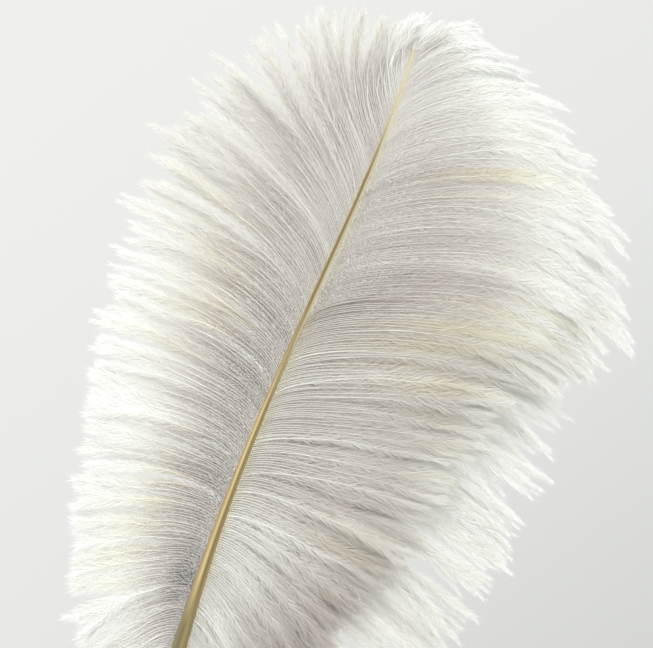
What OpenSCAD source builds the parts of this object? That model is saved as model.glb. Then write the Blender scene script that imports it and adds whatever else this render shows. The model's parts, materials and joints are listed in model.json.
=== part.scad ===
// Ostrich plume: one long, soft feather on a hollow quill.
// The quill's axis is +Z, and the origin is on it where its straight grip begins, just
// above its rounded nose. The vanes lie in the XZ plane, and the grooved underside of the
// shaft faces -Y.

/* [Overall shape] */
// Length from the start of the quill's grip to the shaft's tip
shaft_len = 262; // [250:1:275]
// Length of the quill's straight grip, up to the first barbs
quill_len = 38; // [36:1:45]
// How far the tip of the shaft leans to the right
shaft_lean = 20; // [0:1:24]
// Length of the longest barbs on the left side
left_len = 64; // [50:1:70]
// Length of the longest barbs on the right side
right_len = 106; // [85:1:110]

/* [Quill and shaft] */
// Outer diameter of the quill
quill_d = 5.4; // [5:0.1:6]
// Length of the quill's rounded nose, below the grip
nose_len = 7; // [5:0.5:9]
// Wall of the quill
quill_wall = 0.4; // [0.3:0.05:0.6]
// Diameter of the hole in the nose of the quill
end_hole_d = 1.6; // [1:0.1:2]
// Number of dry pulp caps inside the quill
cap_count = 6; // [3:1:8]
// Width of the slender part of the shaft
slender_w = 2.1; // [2:0.1:3]
// Width of the shaft at its tip
tip_w = 1; // [1:0.1:1.4]
// Thickness of the horny skin around the pith
skin = 0.3; // [0.2:0.05:0.35]
// Depth of the groove along the underside, as a share of the shaft's depth
groove = 0.2; // [0:0.05:0.3]

/* [Vanes] */
// Number of locks of barbs in each vane section
locks = 5; // [3:1:6]
// Thickness of a lock at its fullest
lock_t = 3.6; // [2:0.1:4]
// Share of the spacing that a lock fills
lock_fill = 0.86; // [0.7:0.01:0.88]
// How far the locks rise towards the underside before they fall back
lift = 3; // [0:0.5:4]
// How far the tips of the locks fall back
drop = 6; // [3:0.5:8]
// Distance of the rear layer behind the front layer
rear_gap = 6; // [5:0.5:8]

/* [Bending shaft] */
// Clear gap between two sections of the shaft
flex_gap = 0.5; // [0.4:0.05:0.8]
// Clear gap between the vanes of two sections, at the shaft
vane_gap = 1.6; // [1.2:0.1:2.4]

/* [Hidden] */

// The three layers of barbs.
left = 0;
right = 1;
rear = 2;
side_of = [-1, 1, 1];
longest = [left_len, right_len, right_len];

// The shaft's stations: 0 at the top of the quill and 1 at its tip. The feather bends at
// the four between them.
station = [0, 0.19, 0.39, 0.59, 0.79, 1];

barbed_len = shaft_len - quill_len;
gap_s = flex_gap / 2 / barbed_len;
vane_gap_s = vane_gap / 2 / barbed_len;
root_clear = 0.08;      // between a lock's root and the shaft
rear_root = 1.8;        // how far behind the front layer's roots the rear layer starts
cap_t = 0.2;
quill_fade = 0.27;      // how far up the shaft the quill's width fades
round_to = 0.1;         // the shaft turns from round to square between stations 0 and this
shaft_depth = 0.8;      // depth of the squared shaft over its width
square_power = 0.8;     // below 1 for a rounded square
groove_place = 0.2;     // distance of the groove from the middle, over the shaft's width
groove_half = 0.14;
shaft_sides = 24;
ring_step = 0.035;      // stations between two rings of the shaft
lock_rings = 9;
vane_end = 0.985;       // station at which the vanes end
rear_start = 0.08;      // station at which the rear layer starts
elbow = [0.45, 0.64, 0.45];     // where a layer's barbs turn, as a share of their length
full_lift_share = 0.4;  // barbs at least this share of the longest rise by the whole lift
crown_len = 10;
crown_lean = 9;         // angle between two barbs of the crown

// For each layer, against station: the angle from the shaft's direction at which its barbs
// leave, the angle at which they end, and their length as a share of the longest.
leave = [
    [[0, 140], [0.12, 136], [0.2, 122], [0.27, 102], [0.33, 88], [0.43, 74], [0.55, 60],
     [0.68, 44], [0.78, 42], [0.9, 50], [1, 40]],
    [[0, 150], [0.2, 140], [0.3, 117], [0.37, 98], [0.44, 84], [0.5, 74], [0.62, 67],
     [0.75, 62], [0.88, 53], [1, 38]],
    [[0, 150], [0.2, 140], [0.29, 122], [0.36, 101], [0.45, 80], [0.6, 60]]];
end = [
    [[0, 168], [0.12, 158], [0.2, 142], [0.27, 120], [0.33, 106], [0.43, 94], [0.55, 87],
     [0.68, 80], [0.76, 56], [0.84, 14], [0.88, 0], [1, -20]],
    [[0, 168], [0.2, 150], [0.3, 124], [0.37, 94], [0.44, 78], [0.5, 86], [0.56, 102],
     [0.61, 128], [0.68, 134], [0.75, 127], [0.83, 108], [0.91, 98], [1, 92]],
    [[0, 165], [0.2, 150], [0.3, 124], [0.36, 112], [0.52, 116], [0.6, 110]]];
share = [
    [[0, 0.37], [0.12, 0.47], [0.2, 0.57], [0.3, 0.63], [0.42, 0.76], [0.54, 0.89],
     [0.64, 1], [0.72, 0.94], [0.8, 0.80], [0.88, 0.54], [1, 0.18]],
    [[0, 0.30], [0.2, 0.35], [0.3, 0.43], [0.44, 0.58], [0.56, 0.69], [0.61, 0.97], [0.68, 1],
     [0.75, 0.87], [0.83, 0.66], [0.91, 0.43], [1, 0.13]],
    [[0, 0.31], [0.2, 0.53], [0.3, 0.69], [0.36, 0.77], [0.5, 0.84], [0.6, 0.85]]];

function shaft_x(s) = shaft_lean * (4 * pow(s, 3) - 3 * pow(s, 4));
function shaft_z(s) = quill_len + barbed_len * s;
function shaft_w(s) = tip_w + (slender_w - tip_w) * sqrt(1 - pow(s, 3))
                      + (quill_d - slender_w) * exp(-pow(s / quill_fade, 2));
function ease(x) = let(t = min(1, max(0, x))) t * t * (3 - 2 * t);
function soft_sign_power(v, p) = (v < 0 ? -1 : 1) * pow(abs(v), p);

// Outline of the shaft at station s, inset from its surface, with the groove on the -Y side.
function shaft_ring(s, inset) =
    let(squared = ease(s / round_to),
        w = shaft_w(s) - 2 * inset,
        d = shaft_w(s) * (1 - (1 - shaft_depth) * squared) - 2 * inset,
        power = 1 - (1 - square_power) * squared)
    [for (i = [0:shaft_sides - 1])
        let(t = 360 * i / shaft_sides,
            x = w / 2 * soft_sign_power(cos(t), power),
            y = d / 2 * soft_sign_power(sin(t), power),
            near = exp(-pow((x / w - groove_place) / groove_half, 2)),
            dip = y < 0 ? groove * d * squared * near : 0)
        [shaft_x(s) + x, y + dip, shaft_z(s)]];

// Centre line of a layer's barb with its root at station s, at u from 0 at its root to 1 at
// its tip.
function barb_point(layer, s, u) =
    let(side = side_of[layer],
        part = lookup(s, share[layer]),
        len = part * longest[layer],
        a = lookup(s, leave[layer]),
        b = lookup(s, end[layer]),
        root = [shaft_x(s) + side * (shaft_w(s) / 2 + root_clear), 0, shaft_z(s)],
        turn = root + elbow[layer] * len * [side * sin(a), 0, cos(a)],
        tip = turn + (1 - elbow[layer]) * len * [side * sin(b), 0, cos(b)],
        behind = layer == rear ? rear_root + rear_gap * (1 - pow(1 - u, 3)) : 0,
        rise = lift * min(1, part / full_lift_share) * sin(180 * u),
        y = behind - rise + drop * pow(part * u, 2))
    pow(1 - u, 2) * root + 2 * u * (1 - u) * turn + u * u * tip + [0, y, 0];

// Faces of the skin around a stack of m rings of n points, the first point numbered start.
function skin_faces(m, n, start = 0) = [for (j = [0:m - 2], i = [0:n - 1])
    let(a = start + j * n + i, b = start + j * n + (i + 1) % n)
    each [[a, a + n, b + n], [a, b + n, b]]];

// Faces of the flat rim between an outer ring and an inner ring.
function rim_faces(n, outer, inner) = [for (i = [0:n - 1])
    let(k = (i + 1) % n)
    each [[outer + i, outer + k, inner + k], [outer + i, inner + k, inner + i]]];

function flipped(faces) = [for (f = faces) [f[2], f[1], f[0]]];

// Closed solid over a stack of rings that all have the same number of points.
module loft(rings) {
    n = len(rings[0]);
    m = len(rings);
    first = [[for (i = [0:n - 1]) i]];
    last = [[for (i = [n - 1:-1:0]) (m - 1) * n + i]];
    polyhedron([for (r = rings) each r], concat(first, skin_faces(m, n), last),
               convexity = 6);
}

// Tube between an outer and an inner stack of rings, open at both ends.
module loft_tube(outer, inner) {
    n = len(outer[0]);
    m = len(outer);
    polyhedron([for (r = concat(outer, inner)) each r],
               concat(skin_faces(m, n), flipped(skin_faces(m, n, m * n)),
                      rim_faces(n, 0, m * n),
                      flipped(rim_faces(n, (m - 1) * n, (2 * m - 1) * n))),
               convexity = 6);
}

// Rings of the shaft from one station to another.
function shaft_rings(from, to, inset) =
    let(steps = ceil((to - from) / ring_step))
    [for (j = [0:steps]) shaft_ring(from + (to - from) * j / steps, inset)];

// First and last station of the shaft's length k, clear of its neighbours.
function length_from(k) = station[k] + (k > 0 ? gap_s : 0);
function length_to(k) = station[k + 1] - (k < 4 ? gap_s : 0);

// One length of the horny skin.
module rachis(k) {
    color("darkkhaki")
        loft_tube(shaft_rings(length_from(k), length_to(k), 0),
                  shaft_rings(length_from(k), length_to(k), skin));
}

// The foam that fills one length of the skin.
module pith(k) {
    color("ivory") loft(shaft_rings(length_from(k), length_to(k), skin + 0.02));
}

// One lock: a flat blade of barbs between two barb lines, thin at its root, edges and tip.
module lock(layer, mid, half) {
    rings = [for (j = [0:lock_rings - 1])
        let(u = j / (lock_rings - 1),
            h = half * (1 - 0.6 * pow(u, 3)),
            a = barb_point(layer, mid - h, u),
            b = barb_point(layer, mid + h, u),
            t = lock_t / 2 * (0.35 + 0.65 * sin(180 * pow(u, 0.8))) * (u == 1 ? 0.6 : 1))
        [a, a * 0.75 + b * 0.25 + [0, 0.7 * t, 0], (a + b) / 2 + [0, t, 0],
         a * 0.25 + b * 0.75 + [0, 0.7 * t, 0], b, a * 0.25 + b * 0.75 - [0, 0.7 * t, 0],
         (a + b) / 2 - [0, t, 0], a * 0.75 + b * 0.25 - [0, 0.7 * t, 0]]];
    loft(layer == left ? rings : [for (r = rings) [for (i = [7:-1:0]) r[i]]]);
}

// A layer's row of locks between two stations, with the clear gap at each end.
module vane(layer, from, to, count = locks) {
    low = from + vane_gap_s;
    pitch = (to - from - 2 * vane_gap_s) / count;
    for (i = [0:count - 1])
        lock(layer, low + (i + 0.5) * pitch, pitch / 2 * lock_fill);
}

// Hollow quill: a rounded nose, then a straight grip for a holder.
module calamus() {
    r = quill_d / 2;
    color("wheat") difference() {
        rotate_extrude($fn = 48) polygon([
            [0, -nose_len], [0.45 * r, -nose_len], [0.75 * r, -0.7 * nose_len],
            [0.93 * r, -0.35 * nose_len], [r, 0], [r, quill_len], [0, quill_len]]);
        translate([0, 0, -nose_len - 1]) cylinder(d = end_hole_d, h = nose_len + 2, $fn = 32);
        cylinder(r = r - quill_wall, h = quill_len + 1, $fn = 48);
    }
}

// Dry caps of pulp across the bore of the quill.
module pulp_caps() {
    low = 5;
    pitch = (quill_len - 2 * low) / (cap_count - 1);
    color("cornsilk") for (i = [0:cap_count - 1])
        translate([0, 0, low + i * pitch])
            cylinder(r = quill_d / 2 - quill_wall, h = cap_t, $fn = 48);
}

module rachis_base() rachis(0);
module rachis_lower() rachis(1);
module rachis_middle() rachis(2);
module rachis_upper() rachis(3);
module rachis_tip() rachis(4);

module pith_base() pith(0);
module pith_lower() pith(1);
module pith_middle() pith(2);
module pith_upper() pith(3);
module pith_tip() pith(4);

module downy_barbs_left() color("whitesmoke") vane(left, station[0], station[1]);
module downy_barbs_right() color("whitesmoke") vane(right, station[0], station[1]);
module left_vane_lower() color("white") vane(left, station[1], station[2]);
module right_vane_lower() color("white") vane(right, station[1], station[2]);
module left_vane_middle() color("white") vane(left, station[2], station[3]);
module right_vane_middle() color("white") vane(right, station[2], station[3]);
module left_vane_upper() color("white") vane(left, station[3], station[4]);
module right_vane_upper() color("white") vane(right, station[3], station[4]);
module left_vane_tip() color("white") vane(left, station[4], vane_end);
module right_vane_tip() color("white") vane(right, station[4], vane_end);

// Rear layer, seen past the shorter front layer low on the right side.
module rear_barbs_base() color("gainsboro") vane(rear, rear_start, station[1], 3);
module rear_barbs_lower() color("gainsboro") vane(rear, station[1], station[2], 4);
module rear_barbs_middle() color("gainsboro") vane(rear, station[2], station[3], 4);

// Short barbs around the tip of the shaft.
module crown_barbs() {
    root = [shaft_x(1), 0, shaft_z(1) + 0.3];
    color("white") for (i = [-1:1]) {
        lean = i * crown_lean;
        tip = root + crown_len * [sin(lean), 0, cos(lean)] + [0, 2 - abs(i), 0];
        hull() {
            translate(root) sphere(r = 0.35, $fn = 8);
            translate((root + tip) / 2) sphere(r = 0.9, $fn = 8);
            translate(tip) sphere(r = 0.4, $fn = 8);
        }
    }
}

calamus();
pulp_caps();
rachis_base();
pith_base();
downy_barbs_left();
downy_barbs_right();
rear_barbs_base();
rachis_lower();
pith_lower();
left_vane_lower();
right_vane_lower();
rear_barbs_lower();
rachis_middle();
pith_middle();
left_vane_middle();
right_vane_middle();
rear_barbs_middle();
rachis_upper();
pith_upper();
left_vane_upper();
right_vane_upper();
rachis_tip();
pith_tip();
left_vane_tip();
right_vane_tip();
crown_barbs();
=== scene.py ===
"""Looks of a white ostrich plume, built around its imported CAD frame.

The frame's shaft runs up +Z with a slight lean to +X, the vanes lie in the XZ plane, and the
shaft's grooved underside faces -Y. Stations run from 0 at the top of the quill to 1 at the
tip of the shaft. Every barb is a tapered rib with its own barbules, all of them mesh.
"""

import json
import math

import bpy
import numpy as np
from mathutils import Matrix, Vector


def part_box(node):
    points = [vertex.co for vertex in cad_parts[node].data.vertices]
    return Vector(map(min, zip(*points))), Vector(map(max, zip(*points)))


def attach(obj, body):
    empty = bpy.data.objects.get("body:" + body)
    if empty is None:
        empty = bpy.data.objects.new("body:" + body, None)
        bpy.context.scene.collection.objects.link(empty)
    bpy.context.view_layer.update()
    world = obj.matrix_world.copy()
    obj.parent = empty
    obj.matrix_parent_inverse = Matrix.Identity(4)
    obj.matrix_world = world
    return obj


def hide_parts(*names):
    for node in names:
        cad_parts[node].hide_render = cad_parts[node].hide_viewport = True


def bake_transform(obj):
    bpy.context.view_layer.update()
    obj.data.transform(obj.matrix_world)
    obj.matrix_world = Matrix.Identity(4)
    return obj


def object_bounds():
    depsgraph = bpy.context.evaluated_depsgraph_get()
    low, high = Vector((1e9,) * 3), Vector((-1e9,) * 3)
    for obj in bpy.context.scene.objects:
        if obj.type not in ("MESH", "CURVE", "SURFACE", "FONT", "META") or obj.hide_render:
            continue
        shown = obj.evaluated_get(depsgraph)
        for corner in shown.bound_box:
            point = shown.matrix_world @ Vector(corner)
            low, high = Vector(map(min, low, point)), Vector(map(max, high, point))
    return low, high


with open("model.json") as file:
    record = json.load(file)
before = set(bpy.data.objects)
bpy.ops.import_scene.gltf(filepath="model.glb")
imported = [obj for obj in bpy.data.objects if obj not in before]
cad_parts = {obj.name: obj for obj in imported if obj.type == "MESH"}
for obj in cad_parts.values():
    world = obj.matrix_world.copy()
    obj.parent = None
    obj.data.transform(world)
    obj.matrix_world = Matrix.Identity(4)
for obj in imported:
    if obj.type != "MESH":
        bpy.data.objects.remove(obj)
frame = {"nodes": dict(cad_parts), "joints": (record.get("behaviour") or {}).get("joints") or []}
cad_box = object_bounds()

MM = 0.001
RNG = np.random.default_rng(20)
Y_AXIS = np.array([0.0, 1.0, 0.0])

# ---- The shaft's line, from the frame -------------------------------------------------

QUILL_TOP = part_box("calamus")[1].z
SHAFT_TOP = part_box("rachis_tip")[1].z
BARBED = SHAFT_TOP - QUILL_TOP
QUILL_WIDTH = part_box("calamus")[1].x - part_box("calamus")[0].x
# How far the shaft's tip leans to +X.
SHAFT_LEAN = 20 * MM
# The shaft's width just above its thick foot, and at its tip, and the share of its length
# over which the foot dies away.
SLENDER_WIDTH = 2.1 * MM
TIP_WIDTH = 1.0 * MM
FOOT_SHARE = 0.27
# Thickness of the shaft's horny skin, outside the pith.
SKIN = 0.3 * MM
# Past the round quill, how much less deep than wide the shaft is, and how square its outline.
FLATNESS = 0.2
SQUARENESS = 0.2
# The groove along the underside: its depth as a share of the shaft's, and its place and
# half width over the shaft's width.
GROOVE, GROOVE_PLACE, GROOVE_HALF = 0.2, 0.2, 0.14

LENGTHS = ["base", "lower", "middle", "upper", "tip"]
JOINT_Z = [joint["pos_m"][2] for joint in frame["joints"]]
JOINT_S = [(z - QUILL_TOP) / BARBED for z in JOINT_Z]
# Each region of the plume holds one joint and ends halfway to the next one.
REGION_ENDS = [0.0] + [(a + b) / 2 for a, b in zip(JOINT_S, JOINT_S[1:])] + [1.0]


def shaft_x(s):
    return SHAFT_LEAN * (4 * s ** 3 - 3 * s ** 4)


def shaft_z(s):
    return QUILL_TOP + BARBED * s


def shaft_width(s):
    s = np.clip(s, 0, 1)
    return (TIP_WIDTH + (SLENDER_WIDTH - TIP_WIDTH) * np.sqrt(1 - s ** 3)
            + (QUILL_WIDTH - SLENDER_WIDTH) * np.exp(-(s / FOOT_SHARE) ** 2))


def smooth(x, low, high):
    """0 below low to 1 above high, with an even ease between them."""
    t = np.clip((x - low) / (high - low), 0, 1)
    return t * t * (3 - 2 * t)


def table(s, knots):
    """Value of a table of (station, value) at s, with its corners rounded."""
    places, values = zip(*knots)
    shifts = np.linspace(-0.05, 0.05, 7)
    return np.mean([np.interp(s + d, places, values) for d in shifts], axis=0)


def unit(v):
    return v / np.maximum(np.linalg.norm(v, axis=-1, keepdims=True), 1e-12)


# ---- Mesh building --------------------------------------------------------------------

def make_mesh(name, points, quads, tris=None, shades=None, uv=None, smooth_faces=True):
    """One object from arrays: points (n, 3), quads (m, 4), tris (k, 3), point attributes and
    a UV for every point."""
    tris = np.zeros((0, 3), int) if tris is None else tris
    mesh = bpy.data.meshes.new(name)
    mesh.vertices.add(len(points))
    mesh.vertices.foreach_set("co", np.asarray(points, np.float32).ravel())
    corners = np.concatenate([quads.ravel(), tris.ravel()]).astype(np.int32)
    mesh.loops.add(len(corners))
    mesh.loops.foreach_set("vertex_index", corners)
    sizes = np.concatenate([np.full(len(quads), 4), np.full(len(tris), 3)]).astype(np.int32)
    starts = np.concatenate([[0], np.cumsum(sizes)[:-1]]).astype(np.int32)
    mesh.polygons.add(len(sizes))
    mesh.polygons.foreach_set("loop_start", starts)
    mesh.polygons.foreach_set("use_smooth", np.full(len(sizes), smooth_faces))
    mesh.update(calc_edges=True)
    for key, values in (shades or {}).items():
        layer = mesh.attributes.new(key, "FLOAT", "POINT")
        layer.data.foreach_set("value", np.asarray(values, np.float32))
    if uv is not None:
        layer = mesh.uv_layers.new(name="OFBake")
        layer.data.foreach_set("uv", np.asarray(uv, np.float32)[corners].ravel())
    obj = bpy.data.objects.new(name, mesh)
    bpy.context.scene.collection.objects.link(obj)
    return obj


def tube_quads(rows, columns):
    """Quads of a grid of points, row after row, where each row closes on itself."""
    i, j = np.meshgrid(np.arange(rows - 1), np.arange(columns), indexing="ij")
    k = (j + 1) % columns
    return np.stack([i * columns + j, i * columns + k, (i + 1) * columns + k,
                     (i + 1) * columns + j], -1).reshape(-1, 4)


# ---- Materials ------------------------------------------------------------------------

NOISE_DETAIL = 4.0
BUMP_HEIGHT = 0.05 * MM
BLACK, WHITE = (0, 0, 0), (1, 1, 1)

def new_material(name, roughness, **sockets):
    """A material, its nodes and links, and its shader. sockets sets the shader's own values."""
    mat = bpy.data.materials.new(name)
    mat.use_nodes = True
    nodes, links = mat.node_tree.nodes, mat.node_tree.links
    shader = nodes["Principled BSDF"]
    shader.inputs["Roughness"].default_value = roughness
    for key, value in sockets.items():
        shader.inputs[key.replace("_", " ")].default_value = value
    return mat, nodes, links, shader


def noise_node(nodes, links, scale, stretch=(1, 1, 1)):
    coords = nodes.new("ShaderNodeTexCoord")
    mapping = nodes.new("ShaderNodeMapping")
    mapping.inputs["Scale"].default_value = stretch
    noise = nodes.new("ShaderNodeTexNoise")
    noise.inputs["Scale"].default_value = scale
    noise.inputs["Detail"].default_value = NOISE_DETAIL
    links.new(coords.outputs["Object"], mapping.inputs["Vector"])
    links.new(mapping.outputs["Vector"], noise.inputs["Vector"])
    return noise.outputs["Fac"]


def ramp_node(nodes, links, source, stops):
    ramp = nodes.new("ShaderNodeValToRGB")
    while len(ramp.color_ramp.elements) < len(stops):
        ramp.color_ramp.elements.new(0.5)
    for element, (place, color) in zip(ramp.color_ramp.elements, stops):
        element.position = place
        element.color = (*color, 1)
    links.new(source, ramp.inputs["Fac"])
    return ramp.outputs["Color"]


def mix_node(nodes, links, factor, a, b, mode="MIX"):
    mix = nodes.new("ShaderNodeMix")
    mix.data_type = "RGBA"
    mix.blend_type = mode
    if isinstance(factor, float):
        mix.inputs["Factor"].default_value = factor
    else:
        links.new(factor, mix.inputs["Factor"])
    links.new(a, mix.inputs[6])
    links.new(b, mix.inputs[7])
    return mix.outputs[2]


def bump_node(nodes, links, height, shader, strength):
    bump = nodes.new("ShaderNodeBump")
    bump.inputs["Strength"].default_value = strength
    bump.inputs["Distance"].default_value = BUMP_HEIGHT
    links.new(height, bump.inputs["Height"])
    links.new(bump.outputs["Normal"], shader.inputs["Normal"])


def attribute_node(nodes, name):
    node = nodes.new("ShaderNodeAttribute")
    node.attribute_name = name
    return node.outputs["Fac"]


def barb_material(name, stops):
    """Feather: its colour runs from painted shade at its root to white at its tip, with cream
    streaks.
    """
    mat, nodes, links, shader = new_material(name, 0.62, Sheen_Weight=0.2,
                                             Sheen_Roughness=0.4, Specular_IOR_Level=0.25)
    pale = ramp_node(nodes, links, attribute_node(nodes, "pale"), stops)
    stain = ramp_node(nodes, links, attribute_node(nodes, "cream"),
                      [(0.0, WHITE), (1.0, (0.98, 0.95, 0.78))])
    links.new(mix_node(nodes, links, 1.0, pale, stain, "MULTIPLY"),
              shader.inputs["Base Color"])
    bump_node(nodes, links, noise_node(nodes, links, 2500), shader, 0.2)
    return mat


def golden_horn():
    """The shaft's skin: gold horn, olive at its foot and pale at its tip, with painted highlight
    and painted shade bands that run along it.
    """
    mat, nodes, links, shader = new_material("golden_horn", 0.36, Specular_IOR_Level=0.45,
                                             Coat_Weight=0.1, Coat_Roughness=0.3)
    across, along = attribute_node(nodes, "across"), attribute_node(nodes, "along")
    # The ramps across the shaft hold its gold, olive and pale colours and also a painted
    # highlight band and painted shade bands.
    foot = ramp_node(nodes, links, across,
                     [(0.1, (0.27, 0.24, 0.13)), (0.38, (0.17, 0.14, 0.055)),
                      (0.53, (0.26, 0.21, 0.09)), (0.63, (0.36, 0.29, 0.14)),
                      (0.76, (0.24, 0.19, 0.08)), (0.90, (0.20, 0.16, 0.08))])
    middle = ramp_node(nodes, links, across,
                       [(0.06, (0.42, 0.29, 0.20)), (0.24, (0.44, 0.33, 0.14)),
                        (0.42, (0.67, 0.56, 0.30)), (0.56, (0.42, 0.31, 0.12)),
                        (0.72, (0.20, 0.14, 0.06)), (0.90, (0.34, 0.25, 0.11))])
    upper = ramp_node(nodes, links, across,
                      [(0.05, (0.46, 0.36, 0.20)), (0.24, (0.24, 0.17, 0.09)),
                       (0.44, (0.20, 0.14, 0.06)), (0.58, (0.40, 0.31, 0.14)),
                       (0.75, (0.52, 0.46, 0.28)), (0.95, (0.62, 0.57, 0.43))])
    above_quill = ramp_node(nodes, links, along, [(0.0, BLACK), (0.06, WHITE)])
    past_foot = ramp_node(nodes, links, along, [(0.17, BLACK), (0.24, WHITE)])
    high = ramp_node(nodes, links, along, [(0.48, BLACK), (0.64, WHITE)])
    top = ramp_node(nodes, links, along, [(0.82, BLACK), (0.96, (0.9, 0.9, 0.9))])
    pale, horn = [nodes.new("ShaderNodeRGB").outputs["Color"] for _ in range(2)]
    pale.default_value = (0.74, 0.70, 0.52, 1)
    horn.default_value = (0.72, 0.64, 0.44, 1)
    color = mix_node(nodes, links, above_quill, horn, foot)
    color = mix_node(nodes, links, past_foot, color, middle)
    color = mix_node(nodes, links, high, color, upper)
    color = mix_node(nodes, links, top, color, pale)
    streak = ramp_node(nodes, links, noise_node(nodes, links, 900, (1, 1, 0.03)),
                       [(0.3, (0.84, 0.82, 0.78)), (0.7, (1.0, 1.0, 1.0))])
    links.new(mix_node(nodes, links, 1.0, color, streak, "MULTIPLY"),
              shader.inputs["Base Color"])
    bump_node(nodes, links, noise_node(nodes, links, 1500, (1, 1, 0.02)), shader, 0.25)
    return mat


def quill_horn():
    """The bare quill: pale, slightly clouded horn."""
    mat, nodes, links, shader = new_material("quill_horn", 0.3, Specular_IOR_Level=0.5,
                                             Coat_Weight=0.2, Coat_Roughness=0.2)
    cloud = ramp_node(nodes, links, noise_node(nodes, links, 220, (1, 1, 0.15)),
                      [(0.25, (0.60, 0.50, 0.30)), (0.55, (0.74, 0.66, 0.46)),
                       (0.8, (0.82, 0.77, 0.62))])
    links.new(cloud, shader.inputs["Base Color"])
    bump_node(nodes, links, noise_node(nodes, links, 1200, (1, 1, 0.03)), shader, 0.2)
    return mat


def pith_foam(name, low, high):
    """Dry foam or membrane, mottled between two colours."""
    mat, nodes, links, shader = new_material(name, 0.9)
    links.new(ramp_node(nodes, links, noise_node(nodes, links, 2000), [(0.3, low), (0.7, high)]),
              shader.inputs["Base Color"])
    bump_node(nodes, links, noise_node(nodes, links, 3000), shader, 0.5)
    return mat


# ---- Shaft ----------------------------------------------------------------------------

def shaft_section(s, inset, sides):
    """Outline of the shaft at each station, and each point's place across it, 0 to 1."""
    squared = smooth(s, 0, 0.1)[:, None]
    width = shaft_width(s)[:, None] - 2 * inset
    depth = shaft_width(s)[:, None] * (1 - FLATNESS * squared) - 2 * inset
    t = np.linspace(0, 2 * math.pi, sides, endpoint=False)[None, :]
    power = 1 - SQUARENESS * squared
    x = width / 2 * np.sign(np.cos(t)) * np.abs(np.cos(t)) ** power
    y = depth / 2 * np.sign(np.sin(t)) * np.abs(np.sin(t)) ** power
    near = np.exp(-((x / width - GROOVE_PLACE) / GROOVE_HALF) ** 2) * (y < 0) * squared
    y = y + GROOVE * depth * near
    z = shaft_z(s)[:, None] + 0 * x
    return np.stack([x + shaft_x(s)[:, None], y, z], -1), x / width + 0.5


def shaft_piece(name, s0, s1, inset=0.0, sides=40, step=0.8 * MM):
    """A closed length of the shaft between two stations, inset from its surface."""
    rows = max(8, int((s1 - s0) * BARBED / step))
    s = np.linspace(s0, s1, rows)
    ring, across = shaft_section(s, inset, sides)
    # The end caps have points of their own, so that no shading runs over the edge.
    points = np.concatenate([ring.reshape(-1, 3), ring[0], ring[-1], ring[[0, -1]].mean(1)])
    i = np.arange(sides)
    k = (i + 1) % sides
    low = rows * sides
    high, centres = low + sides, low + 2 * sides
    tris = np.concatenate([np.stack([low + k, low + i, 0 * i + centres], -1),
                           np.stack([high + i, high + k, 0 * i + centres + 1], -1)])
    along = np.concatenate([np.repeat(s, sides), np.repeat([s0, s1], sides), [s0, s1]])
    across = np.concatenate([across.ravel(), across[0], across[-1], [0.5, 0.5]])
    return make_mesh(name, points, tube_quads(rows, sides), tris,
                     {"along": along, "across": across})


def blend_at(obj):
    """Bakes obj's placement into its points."""
    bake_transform(obj)


def nodes_across(stem, j):
    """The two CAD nodes that meet at joint j."""
    return [f"{stem}_{LENGTHS[j]}", f"{stem}_{LENGTHS[j + 1]}"]


def build_shaft():
    """The skin and pith of the shaft, one piece of each for every region."""
    gold = golden_horn()
    foam = pith_foam("pith_foam", (0.78, 0.74, 0.66), (0.92, 0.90, 0.85))
    for j in range(4):
        skin = shaft_piece(f"shaft_skin_{j + 1}", REGION_ENDS[j], REGION_ENDS[j + 1])
        core = shaft_piece(f"shaft_pith_{j + 1}", REGION_ENDS[j], REGION_ENDS[j + 1],
                           inset=SKIN, sides=16, step=2 * MM)
        for obj, mat, stem, slot in ((skin, gold, "rachis", "golden_horn"),
                                     (core, foam, "pith", "pith")):
            obj.data.materials.append(mat)
            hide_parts(*nodes_across(stem, j))
            blend_at(obj)


# ---- Barbs ----------------------------------------------------------------------------

SIDE = {"left": -1, "right": 1, "rear": 1}
LONGEST = {"left": 64 * MM, "right": 106 * MM, "rear": 106 * MM}
# Where a barb turns, as a share of its length.
ELBOW = {"left": 0.45, "right": 0.64, "rear": 0.45}
LINE_POINTS = 28

# For each layer, against station: the angle from the shaft's direction at which its barbs
# leave it, the angle at which they end, and their length as a share of the longest.
LEAVE = {
    "left": [(0, 140), (0.12, 136), (0.2, 122), (0.27, 102), (0.33, 88), (0.43, 74), (0.55, 60),
             (0.68, 44), (0.78, 42), (0.9, 50), (1, 40)],
    "right": [(0, 150), (0.2, 140), (0.3, 117), (0.37, 98), (0.44, 84), (0.5, 74),
              (0.62, 67), (0.75, 62), (0.88, 53), (1, 38)],
    "rear": [(0, 150), (0.2, 140), (0.29, 122), (0.36, 101), (0.45, 80), (0.6, 60), (1, 20)]}
END = {
    "left": [(0, 168), (0.12, 158), (0.2, 142), (0.27, 120), (0.33, 106), (0.43, 94), (0.55, 87),
             (0.68, 80), (0.76, 56), (0.84, 12), (0.9, -26), (1, -40)],
    "right": [(0, 168), (0.2, 150), (0.3, 124), (0.37, 94), (0.44, 78), (0.5, 86),
              (0.56, 102), (0.61, 128), (0.68, 134), (0.75, 127), (0.83, 108), (0.91, 98),
              (1, 100)],
    "rear": [(0, 165), (0.2, 150), (0.3, 124), (0.36, 112), (0.52, 116), (0.6, 110), (1, 45)]}
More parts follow.
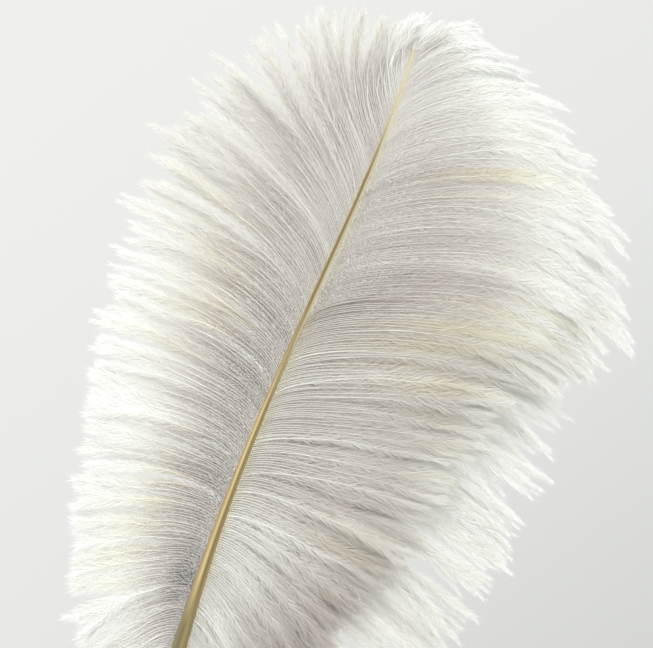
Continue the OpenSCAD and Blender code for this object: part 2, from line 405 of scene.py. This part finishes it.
SHARE = {
    "left": [(0, 0.37), (0.12, 0.47), (0.2, 0.57), (0.3, 0.63), (0.42, 0.76), (0.54, 0.89),
             (0.64, 1), (0.72, 0.94), (0.8, 0.83), (0.88, 0.59), (0.94, 0.34), (1, 0.13)],
    "right": [(0, 0.30), (0.2, 0.35), (0.3, 0.43), (0.44, 0.58), (0.56, 0.69), (0.61, 0.97),
              (0.68, 1), (0.75, 0.87), (0.83, 0.66), (0.91, 0.43), (1, 0.15)],
    "rear": [(0, 0.31), (0.2, 0.53), (0.3, 0.69), (0.36, 0.77), (0.5, 0.84), (0.6, 0.85),
             (1, 0.17)]}
# How high a barb hooks beside the shaft, and the length over which it does.
HOOK = 3 * MM
HOOK_LENGTH = 4.5 * MM
# A barb rises towards -Y at its middle, and drops towards +Y at its tip.
LIFT = 3 * MM
# Barbs at least this share of the longest rise by the whole lift.
LIFT_FULL = 0.4
DROP = 6 * MM
# How far the rear layer lies behind the others at its roots, and how much further at its tips.
REAR_ROOT = 1.5 * MM
REAR_GAP = 6 * MM
# Where a barb's root sits in the shaft, over the shaft's width: out from the middle, and forward.
ROOT_OUT, ROOT_FORWARD = 0.43, 0.2

# How each layer grows: from where to where, how far apart its barbs are, how many gather into
# a strand and how strongly, and half the width of their ribs, at the root and near the tip.
SPAN = {"left": (0.0, 1.0), "right": (0.0, 1.0), "rear": (0.08, 0.62)}
PITCH = {"left": 0.8 * MM, "right": 0.68 * MM, "rear": 0.55 * MM}
STRAND = {"left": (2, 4), "right": (2, 5), "rear": (3, 6)}
GATHER = {"left": 0.4, "right": 0.35, "rear": 0.45}
RIB = {"left": 0.17 * MM, "right": 0.11 * MM, "rear": 0.11 * MM}
RIB_END = 0.05 * MM
# How far a strand and a barb wave from side to side.
STRAND_WAVE = 0.5 * MM
BARB_WAVE = 0.35 * MM
# Neighbouring strands lie higher and lower by this, so that they overlap like shallow locks.
SWELL = 0.9 * MM
# Standard deviations from strand to strand, and from barb to barb, in degrees for angles.
STRAND_NOISE = {"leave": 0.7, "end": 1.2, "lengthen": 0.015, "rise": 0.6 * MM}
BARB_NOISE = {"leave": 0.6, "end": 6.0, "lengthen": 0.03, "rise": 0.6 * MM}
# Strays: their share of the barbs, and how much more of them there are low on the right; how
# far they turn away from their neighbours, in degrees; how far they lift; how much paler.
STRAY_SHARE, STRAY_MORE = 0.035, 0.05
STRAY_TURN = (6, 14)
STRAY_LIFT = 2.5 * MM
STRAY_PALER = 0.12
# Differences in paleness from strand to strand, and from barb to barb.
STRAND_TONE, BARB_TONE = 0.035, 0.045
# Barbules: the spacing and width of them, how unevenly they roll about their barb, how far they
# sit behind it near its root, and how they lean from it, in degrees.
BARBULE_SPACING = 0.3 * MM
BARBULE_WIDTH = 0.11 * MM
BARBULE_ROLL = 0.45
BARBULE_BACK = 0.3 * MM
BARBULE_LEAN, BARBULE_LEAN_SPREAD = 30, 8


def paleness(layer, s, u):
    """Painted shade and painted light on the barbs, by place: 0 where a barb is painted in deep
    shade to 1 where it is white, at station s and at u along it. Most terms paint shade or
    light on one place, such as the strip next to the shaft."""
    # Painted shade on the strip next to the shaft.
    beside = 1 - smooth(u, 0, 0.16)
    if layer == "rear":
        # A painted shadow of the front layer lies across the rear layer; white tips come out from
        # it, earlier higher up.
        shadow = np.exp(-((u - 0.52) / 0.12) ** 2) * (1 - smooth(s, 0.3, 0.5))
        white = 0.4 - 0.1 * (1 - smooth(s, 0.3, 0.45)) - 0.28 * (1 - smooth(s, 0.16, 0.32))
        early = 0.14 * smooth(s, 0.38, 0.5)
        return 0.56 + white * smooth(u, 0.5 - early, 0.78 - early) - 0.2 * shadow + 0.8 * early
    if layer == "left":
        # Low down the barbs run from painted shade to white; high up they are more evenly painted
        #         grey. Painted shade darkens a hollow above the tuft at the foot, and the tuft is
        #         painted lighter.
        painted_hollow_shade = np.exp(-((s - 0.235) / 0.03) ** 2) * (1 - smooth(u, 0.08, 0.35))
        tuft = (1 - smooth(s, 0.14, 0.26)) * (1 - smooth(u, 0.2, 0.7))
        upper = smooth(s, 0.5, 0.74)
        lower = 0.21 + 0.79 * smooth(u, 0, 0.76 + 0.16 * smooth(s, 0.36, 0.5)) + 0.2 * tuft
        high = (0.49 + 0.14 * smooth(u, 0.2, 0.9) + 0.1 * smooth(u, 0.55, 0.9)
                + 0.3 * smooth(s, 0.88, 0.98) - 0.14 * beside)
        # Painted shade low down near the quill, next to the shaft and out towards the tips.
        quill_shade = 0.22 * beside + 0.17 * smooth(u, 0.5, 0.8)
        return (lower * (1 - upper) + high * upper - 0.3 * painted_hollow_shade
                - quill_shade * (1 - smooth(s, 0.15, 0.22)))
    # Below the lobe the right layer is covered and evenly painted in shade; above, free, it
    # whitens outwards. A painted fold shade, a painted light band and a painted shade band lie on
    # the lobe.
    covered = 1 - smooth(s, 0.54, 0.64)
    painted_fold_shade = np.exp(-((s - 0.655) / 0.03) ** 2) * (1 - smooth(u, 0.5, 0.75))
    painted_light_band = np.exp(-((u - 0.54) / 0.16) ** 2) * smooth(s, 0.56, 0.7)
    painted_shade_band = np.exp(-((u - 0.8) / 0.08) ** 2) * smooth(s, 0.57, 0.61) * (1 - smooth(s, 0.66, 0.71))
    free = (0.42 + 0.2 * smooth(u, 0.05, 0.4) + 0.38 * smooth(u, 0.42, 0.76) - 0.1 * painted_fold_shade
            + 0.13 * painted_light_band - 0.1 * beside - 0.16 * painted_shade_band)
    # Painted shade at the ends of the front barbs low down, and painted light at the foot and on
    # the front layer's fringe.
    end = 0.16 * smooth(u, 0.5, 0.8) * (1 - smooth(s, 0.28, 0.4)) * smooth(s, 0.05, 0.22)
    foot = (1 - smooth(s, 0.3, 0.42)) * (1 - smooth(u, 0.2, 0.5)) * smooth(s, 0.1, 0.24)
    fringe = 0.2 * smooth(u, 0.66, 0.94) * smooth(s, 0.34, 0.46)
    low = 0.57 + 0.2 * foot + 0.06 * smooth(u, 0.05, 0.4) - end + fringe
    # Near the tip the right layer is painted lighter, most towards its roots.
    return free * (1 - covered) + low * covered + 0.2 * smooth(s, 0.76, 0.92) * (1 - 0.7 * u)


def clump_numbers(n, low, high, rng):
    """Clump of each of n barbs, in runs of low to high barbs."""
    sizes = rng.integers(low, high + 1, n)
    return np.repeat(np.arange(n), sizes)[:n]


def barb_lines(layer, s, leave, end, lengthen, rise):
    """Centre lines (n, LINE_POINTS, 3) of a layer's barbs rooted at stations s. leave and end
    add to the tables' angles in degrees, lengthen multiplies the length, and rise moves the
    tip towards +Y. Each is one value per barb."""
    side = SIDE[layer]
    u = np.linspace(0, 1, LINE_POINTS)[None, :, None]
    a = np.radians(table(s, LEAVE[layer]) + leave)
    b = np.radians(table(s, END[layer]) + end)
    part = table(s, SHARE[layer])
    length = (LONGEST[layer] * part * lengthen)[:, None]
    wide = shaft_width(s)
    root = np.stack([shaft_x(s) + side * wide * ROOT_OUT, -ROOT_FORWARD * wide, shaft_z(s)], -1)
    first = ELBOW[layer] * length
    turn = root + first * np.stack([side * np.sin(a), 0 * a, np.cos(a)], -1)
    tip = turn + (length - first) * np.stack([side * np.sin(b), 0 * b, np.cos(b)], -1)
    line = ((1 - u) ** 2 * root[:, None] + 2 * u * (1 - u) * turn[:, None]
            + u ** 2 * tip[:, None])
    reach = u[..., 0]
    lift = LIFT * np.minimum(1, part / LIFT_FULL)[:, None]
    line[..., 1] += (DROP * (part[:, None] * reach) ** 2 - lift * np.sin(math.pi * reach)
                     + rise[:, None] * reach)
    if layer == "rear":
        line[..., 1] += REAR_ROOT + REAR_GAP * (1 - (1 - reach) ** 3)
    # Barbs hook upwards beside the shaft before they spread.
    line[..., 2] += HOOK * (0.4 - np.exp(-reach * length / HOOK_LENGTH))
    return line


def wander(line, rng, amount, cycles):
    """Adds each barb's own slow wave in the plane of the vane."""
    n = len(line)
    u = np.linspace(0, 1, LINE_POINTS)[None, :]
    phase, turns = rng.uniform(0, 2 * math.pi, (n, 1)), rng.uniform(*cycles, (n, 1))
    swing = amount * np.sin(phase + 2 * math.pi * turns * u) * smooth(u, 0.02, 0.5)
    normal = unit(np.cross(np.gradient(line, axis=1), Y_AXIS))
    return line + normal * swing[..., None]


def grow_layer(layer, rng):
    """One layer of barbs, gathered into strands of a few barbs each."""
    s0, s1 = SPAN[layer]
    count = int(BARBED * (s1 - s0) / PITCH[layer])
    s = np.linspace(s0, s1, count) + rng.uniform(-0.15, 0.15, count) * (s1 - s0) / count
    s = np.clip(s, 0, 1)
    own = clump_numbers(count, *STRAND[layer], rng)
    n = own.max() + 1
    centre_s = np.array([s[own == c].mean() for c in range(n)])
    swell = SWELL * np.sin(2 * math.pi * 17 * centre_s + 2 * np.sin(40 * centre_s))
    loose = 1 + 1.5 * (1 - smooth(centre_s, 0.3, 0.5))
    noise = STRAND_NOISE
    offsets = dict(leave=rng.normal(0, noise["leave"], n) * loose,
                   end=rng.normal(0, noise["end"], n) * loose,
                   lengthen=1 + rng.normal(0, noise["lengthen"], n),
                   rise=swell + rng.normal(0, noise["rise"], n))
    centre = wander(barb_lines(layer, centre_s, **offsets), rng, STRAND_WAVE, (0.4, 1.2))
    each = {key: value[own] for key, value in offsets.items()}
    uneven = (1.0 if layer == "left" else 0.4) * smooth(s, 0.42, 0.62)
    noise = BARB_NOISE
    each["lengthen"] = each["lengthen"] * (1 + rng.normal(0, noise["lengthen"], count)
                                           * (1 + uneven))
    each["end"] = each["end"] + rng.normal(0, noise["end"], count)
    each["leave"] = each["leave"] + rng.normal(0, noise["leave"], count)
    each["rise"] = each["rise"] + rng.normal(0, noise["rise"], count)
    # A few strays leave higher than their neighbours, cross over them and come back.
    common = STRAY_SHARE + STRAY_MORE * (layer == "right") * (1 - smooth(s, 0.36, 0.46))
    stray = (rng.uniform(0, 1, count) < common) & (s > 0.05) & (s < 0.85)
    astray = stray * rng.uniform(*STRAY_TURN, count)
    each["leave"] = each["leave"] - astray
    each["end"] = each["end"] + astray
    each["rise"] = each["rise"] - stray * STRAY_LIFT
    line = barb_lines(layer, s, **each)
    u = np.linspace(0, 1, LINE_POINTS)[None, :, None]
    pull = (GATHER[layer] * smooth(u, 0.05, 0.35) * (1 - 0.8 * smooth(u, 0.5, 0.95))
            * rng.uniform(0.3, 1.0, (count, 1, 1)) * (1 - stray)[:, None, None])
    line = wander(line * (1 - pull) + centre[own] * pull, rng, BARB_WAVE, (1.0, 2.5))
    tone = (rng.normal(0, STRAND_TONE, n)[own] + rng.normal(0, BARB_TONE, count)
            + STRAY_PALER * stray)
    return {"layer": layer, "s": s, "line": line, "own": own, "tone": tone}


def pick(barbs, mine):
    """The chosen barbs of a layer."""
    return {key: value if key == "layer" else value[mine] for key, value in barbs.items()}


def line_lengths(line):
    """Length of each centre line."""
    return np.linalg.norm(np.diff(line, axis=1), axis=2).sum(1)


def sample(line, barb, u):
    """Points and directions at u along the numbered barbs."""
    f = np.clip(u, 0, 0.9999) * (LINE_POINTS - 1)
    i = f.astype(int)
    w = (f - i)[:, None]
    a, b = line[barb, i], line[barb, i + 1]
    return a * (1 - w) + b * w, unit(b - a)


def streaks(layer, s, u, own):
    """Cream streaks, 0 to 1: broad patches in the outer half that run along the barbs."""
    patch = np.sin(s * 23 + 1.0) * 0.45 + np.sin(s * 61 + own * 1.7) * 0.55
    centre = 0.55 + 0.12 * np.sin(s * 31)
    if layer == "right":
        centre = centre + 0.2 * (1 - smooth(s, 0.45, 0.6))
    place = np.exp(-((u - centre) / 0.26) ** 2)
    stained = 0.6 * smooth(s, 0.15, 0.3) * (1 - 0.7 * smooth(s, 0.68, 0.8))
    if layer != "left":
        stained = 0.9 * smooth(s, 0.26, 0.4) * (1 - 0.8 * smooth(s, 0.76, 0.86))
    return np.clip((0.08 + 0.85 * smooth(patch, -0.3, 0.9) * place) * stained
                   + (u < 0.03), 0, 1)


def shading(barbs, who, at, shade):
    """Colour attributes of points at u = at along the barbs numbered who. shade is more painted
    shade taken from their pale value, less of it towards the barbs' tips."""
    s, own, layer = barbs["s"][who], barbs["own"][who], barbs["layer"]
    inner = 1 - smooth(at, 0.45, 0.85)
    pale = paleness(layer, s, at) + barbs["tone"][who] * (0.3 + 0.7 * inner) - shade * inner
    return {"pale": pale.ravel(), "cream": streaks(layer, s, at, own).ravel()}


# Painted shade: how much darker barbules are towards their tips, and ribs paler, high on the
# left layer and everywhere else.
LEFT_CONTRAST = 0.095
OTHER_CONTRAST = 0.05


def painted_shade_contrast(barbs, who):
    """How far barbules darken towards their tips and ribs pale, as painted shade. It grows up the
    left layer.
    """
    if barbs["layer"] != "left":
        return OTHER_CONTRAST
    return OTHER_CONTRAST + (LEFT_CONTRAST - OTHER_CONTRAST) * smooth(barbs["s"][who], 0.24, 0.42)


def rib_mesh(name, barbs, thick):
    """The barbs' own ribs: four-sided, deeper than they are wide, tapering to a fine end."""
    line = barbs["line"]
    n = len(line)
    u = np.linspace(0, 1, LINE_POINTS)[None, :]
    half = (thick * (1 - u) ** 0.8 + RIB_END * u) * (1 - 0.7 * smooth(u, 0.97, 1.0))
    along = unit(np.gradient(line, axis=1))
    across = unit(np.cross(along, Y_AXIS)) * half[..., None]
    deep = Y_AXIS * (half * 1.5)[..., None]
    ring = np.stack([line + across, line + deep, line - across, line - deep], 2)
    one = tube_quads(LINE_POINTS, 4)
    quads = (one[None] + (np.arange(n) * LINE_POINTS * 4)[:, None, None]).reshape(-1, 4)
    at = np.broadcast_to(u[..., None], (n, LINE_POINTS, 4))
    who = np.broadcast_to(np.arange(n)[:, None, None], at.shape)
    uv = np.stack([0.02 + 0.96 * at, (who + 0.5) / n], -1).reshape(-1, 2)
    # The ribs are painted paler, the other half of the barbules' painted tip shade.
    return make_mesh(name, ring.reshape(-1, 3), quads, None,
                     shading(barbs, who, at, -painted_shade_contrast(barbs, who)), uv)


def barbule_mesh(name, barbs, rng, spacing, reach, width):
    """Barbules down both sides of every barb: ribbons of a quad and a triangle each.
    reach(u, s) is their length. They sit and lean behind their rib near its root, and their
    own tips carry painted shade there, so that each barb shows as a pale line."""
    line = barbs["line"]
    lengths = line_lengths(line)
    counts = np.maximum(4, (lengths / spacing).astype(int))
    barb = np.repeat(np.arange(len(line)), counts)
    step = np.arange(len(barb)) - np.repeat(np.cumsum(counts) - counts, counts)
    u = (step + rng.uniform(0, 1, len(barb))) / counts[barb]
    barb, u = np.concatenate([barb, barb]), np.concatenate([u, u])
    hand = np.where(np.arange(len(u)) < len(u) // 2, 1.0, -1.0)[:, None]
    n = len(u)
    base, along = sample(line, barb, u)
    across = unit(np.cross(along, Y_AXIS)) * hand
    # They lie flatter towards the tip, and stand out at the root, where they close the gaps.
    splay = 1 + 0.9 * (1 - smooth(u, 0.01, 0.08)) - 0.4 * smooth(u, 0.5, 1.0)
    lean = np.radians(rng.normal(BARBULE_LEAN, BARBULE_LEAN_SPREAD, n) * splay)[:, None]
    sunk = 0.45 if barbs["layer"] == "left" else 0.2
    roll = rng.normal(0, BARBULE_ROLL, (n, 1)) + sunk * (1 - smooth(u, 0.3, 0.7))[:, None]
    out = across * np.cos(roll) + Y_AXIS * np.sin(roll)
    way = along * np.cos(lean) + out * np.sin(lean)
    length = (reach(u, barbs["s"][barb]) * rng.uniform(0.6, 1.15, n))[:, None]
    curl = unit(way + along * rng.uniform(0.2, 1.2, (n, 1)) + rng.normal(0, 0.12, (n, 3)))
    base = base + Y_AXIS * BARBULE_BACK * (1 - 0.6 * smooth(u, 0.2, 0.6))[:, None]
    middle = base + way * length * 0.5
    tip = middle + curl * length * 0.5
    flat = unit(np.cross(way, Y_AXIS + rng.normal(0, 0.4, (n, 3))))
    half = width / 2
    points = np.stack([base - flat * half, base + flat * half, middle - flat * half * 0.8,
                       middle + flat * half * 0.8, tip], 1)
    start = (np.arange(n) * 5)[:, None]
    quads = start + np.array([[0, 1, 3, 2]])
    tris = start + np.array([[2, 3, 4]])
    at = np.clip(np.stack([u, u, u + 0.02, u + 0.02, u + 0.05], 1), 0, 1)
    who = np.repeat(barb[:, None], 5, 1)
    uv = np.stack([0.02 + 0.96 * at, (who + 0.5) / len(line)], -1).reshape(-1, 2)
    # Painted shade along each barbule: paler at its base, darker at its tip.
    edge = painted_shade_contrast(barbs, who) * np.array([[-0.3, -0.3, 0.4, 0.4, 1.4]])
    return make_mesh(name, points.reshape(-1, 3), quads, tris,
                     shading(barbs, who, at, edge), uv, False)


def region_of(s):
    """The number of the region, 0 to 3, that each station is in."""
    return np.clip(np.searchsorted(REGION_ENDS[1:-1], s), 0, 3)


def add_layer(barbs, rng, ribs, barbules, reach):
    """Makes a layer's ribs and barbules, one pair of pieces for each region it crosses."""
    layer = barbs["layer"]
    region = region_of(barbs["s"])
    for j in sorted(set(region)):
        part = pick(barbs, region == j)
        rib = rib_mesh(f"{layer}_barbs_{j + 1}", part, RIB[layer])
        rib.data.materials.append(ribs)
        fluff = barbule_mesh(f"{layer}_barbules_{j + 1}", part, rng, BARBULE_SPACING, reach,
                             BARBULE_WIDTH)
        fluff.data.materials.append(barbules)
        if layer == "rear":
            stood_for = [f"rear_barbs_{LENGTHS[k]}" for k in (j, j + 1) if k < 3]
        else:
            stood_for = [f"downy_barbs_{layer}" if k == 0 else f"{layer}_vane_{LENGTHS[k]}"
                         for k in (j, j + 1)]
        for obj in (rib, fluff):
            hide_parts(*stood_for)
            blend_at(obj)


def taper(u, s):
    """Barbules shorten at the very end of a barb, and towards the tip of the plume."""
    return (1 - 0.55 * smooth(u, 0.88, 1.0)) * (1 - 0.5 * smooth(s, 0.72, 0.92) * u)


def left_reach(u, s):
    """Length of the left layer's barbules, longer towards the outline."""
    outer = 1.6 * smooth(u, 0.5, 0.8) * (1 - smooth(s, 0.4, 0.6))
    full = 1 + 0.25 * smooth(u, 0.5, 0.9) * smooth(s, 0.5, 0.7)
    return (2.6 + 2.8 * smooth(u, 0.03, 0.5) + outer) * full * taper(u, s) * MM


def right_reach(u, s):
    """Length of the right and rear layers' barbules."""
    return (2.0 + 3.4 * smooth(u, 0.02, 0.3)) * taper(u, s) * MM


def build_vanes():
    """The left, right and rear layers. Returns the materials of ribs and barbules."""
    # Both ramps turn painted shade into colour: dark grey at 0, white at 1.
    rib_white = barb_material("barb_rib", [
        (0.0, (0.30, 0.28, 0.26)), (0.25, (0.56, 0.52, 0.49)), (0.5, (0.72, 0.69, 0.65)),
        (0.75, (0.86, 0.85, 0.81)), (1.0, (0.96, 0.96, 0.94))])
    fluff_white = barb_material("barbule", [
        (0.0, (0.18, 0.16, 0.145)), (0.25, (0.375, 0.335, 0.315)), (0.5, (0.61, 0.565, 0.53)),
        (0.75, (0.80, 0.78, 0.74)), (1.0, (0.95, 0.955, 0.94))])

    # All the layers grow before any is meshed, which keeps the random draws in this order.
    layers = [grow_layer(layer, RNG) for layer in ("left", "right", "rear")]
    for barbs, reach in zip(layers, (left_reach, right_reach, right_reach)):
        add_layer(barbs, RNG, rib_white, fluff_white, reach)
    return rib_white, fluff_white


CROWN_COUNT = 36
# The crown's barbs, from left to right: their lean from upright, in degrees, and their length,
# in millimetres.
CROWN_LEAN = (-60, 70)
CROWN_LENGTH = (8, 15)
# How far their outer part turns over, in degrees, and the share of their length before it does.
CROWN_FALL = 25
CROWN_ELBOW = 0.6


def build_crown(ribs, barbules):
    """Short barbs that close the tip of the shaft, longer on its right."""
    n = CROWN_COUNT
    u = np.linspace(0, 1, LINE_POINTS)[None, :, None]
    lean = np.radians(np.linspace(*CROWN_LEAN, n) + RNG.normal(0, 3, n))
    length = (np.linspace(*CROWN_LENGTH, n) * RNG.uniform(0.85, 1.1, n))[:, None] * MM
    root = np.repeat([[shaft_x(1.0), -0.35 * MM, SHAFT_TOP - 0.8 * MM]], n, 0)
    turn = root + CROWN_ELBOW * length * np.stack([np.sin(lean), 0 * lean, np.cos(lean)], -1)
    fall = np.radians(np.degrees(lean) + CROWN_FALL)
    outer = np.stack([np.sin(fall), 0 * fall - 0.15, np.cos(fall)], -1)
    tip = turn + (1 - CROWN_ELBOW) * length * outer
    line = (1 - u) ** 2 * root[:, None] + 2 * u * (1 - u) * turn[:, None] + u ** 2 * tip[:, None]
    # The crown takes the right layer's painted shade near the tip, and its tone paints it a
    # little paler.
    barbs = {"layer": "right", "s": np.full(n, 0.99), "line": line, "own": np.arange(n) // 3,
             "tone": 0.06 + RNG.normal(0, 0.04, n)}
    rib = rib_mesh("crown_ribs", barbs, 0.1 * MM)
    fluff = barbule_mesh("crown_barbules", barbs, RNG, 0.4 * MM,
                         lambda u, s: (2.5 - 1.5 * u) * MM, 0.1 * MM)
    for obj, mat in ((rib, ribs), (fluff, barbules)):
        obj.data.materials.append(mat)
        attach(obj, "shaft_tip")
        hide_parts("crown_barbs")


# ---- Quill ----------------------------------------------------------------------------

def finish_quill():
    """Gives the CAD's quill and pulp caps their materials."""
    for node, mat in (("calamus", quill_horn()),
                      ("pulp_caps", pith_foam("pulp", (0.70, 0.62, 0.46), (0.84, 0.78, 0.64)))):
        data = frame["nodes"][node].data
        data.materials.clear()
        data.materials.append(mat)


# ---- Stage, light and camera ----------------------------------------------------------

def build_stage():
    """A pale round floor just under the quill, and a pale studio around it."""
    radius, drop, sides = 300 * MM, 2 * MM, 96
    z = cad_box[0][2] - drop
    t = np.linspace(0, 2 * math.pi, sides, endpoint=False)
    rim = np.stack([radius * np.cos(t), radius * np.sin(t), 0 * t + z], -1)
    i = np.arange(sides)
    tris = np.stack([i, (i + 1) % sides, 0 * i + sides], -1)
    floor = make_mesh("floor", np.concatenate([rim, [[0, 0, z]]]), np.zeros((0, 4), int), tris)
    mat, nodes, links, shader = new_material("pale_floor", 0.8)
    links.new(ramp_node(nodes, links, noise_node(nodes, links, 3),
                        [(0.3, (0.78, 0.78, 0.77)), (0.7, (0.82, 0.82, 0.81))]),
              shader.inputs["Base Color"])
    floor.data.materials.append(mat)
    world = bpy.data.worlds.new("studio")
    world.use_nodes = True
    nodes, links = world.node_tree.nodes, world.node_tree.links
    coords = nodes.new("ShaderNodeTexCoord")
    slope = nodes.new("ShaderNodeVectorMath")
    slope.operation = "DOT_PRODUCT"
    slope.inputs[1].default_value = (-0.85, 0.0, 0.65)
    spread = nodes.new("ShaderNodeMapRange")
    spread.inputs["From Min"].default_value = -0.2
    spread.inputs["From Max"].default_value = 0.12
    links.new(coords.outputs["Generated"], slope.inputs[0])
    links.new(slope.outputs["Value"], spread.inputs["Value"])
    links.new(ramp_node(nodes, links, spread.outputs["Result"],
                        [(0.0, (0.63, 0.64, 0.625)), (0.55, (0.80, 0.81, 0.79)),
                         (1.0, (0.86, 0.87, 0.845))]),
              nodes["Background"].inputs["Color"])
    bpy.context.scene.world = world


def area_light(name, place, target, size, power):
    """A round soft light at place that faces target."""
    data = bpy.data.lights.new(name, "AREA")
    data.shape = "DISK"
    data.size = size
    data.energy = power
    light = bpy.data.objects.new(name, data)
    light.location = place
    way = np.array(target) - np.array(place)
    pitch = math.atan2(math.hypot(way[0], way[1]), -way[2])
    light.rotation_euler = (pitch, 0, math.atan2(way[0], -way[1]) + math.pi)
    bpy.context.scene.collection.objects.link(light)


def build_camera():
    """Long lens square to the vanes, rolled so that the plume leans right."""
    roll, distance, view_width = math.radians(15.5), 0.9, 0.196
    aim = (0.0169, 0.0, 0.175)
    data = bpy.data.cameras.new("camera")
    data.sensor_width = 36
    data.lens = 36 * distance / view_width
    data.clip_end = 20
    camera = bpy.data.objects.new("camera", data)
    camera.location = (aim[0], aim[1] - distance, aim[2])
    camera.rotation_euler = (math.pi / 2, -roll, 0)
    bpy.context.scene.collection.objects.link(camera)
    bpy.context.scene.camera = camera
    return aim


build_shaft()
build_crown(*build_vanes())
finish_quill()
build_stage()
centre = build_camera()
area_light("key", (-0.6, -0.8, 0.9), centre, 0.7, 8.5)
area_light("fill", (0.7, -0.7, 0.5), centre, 0.9, 2.5)
bpy.context.scene.view_settings.view_transform = "Standard"
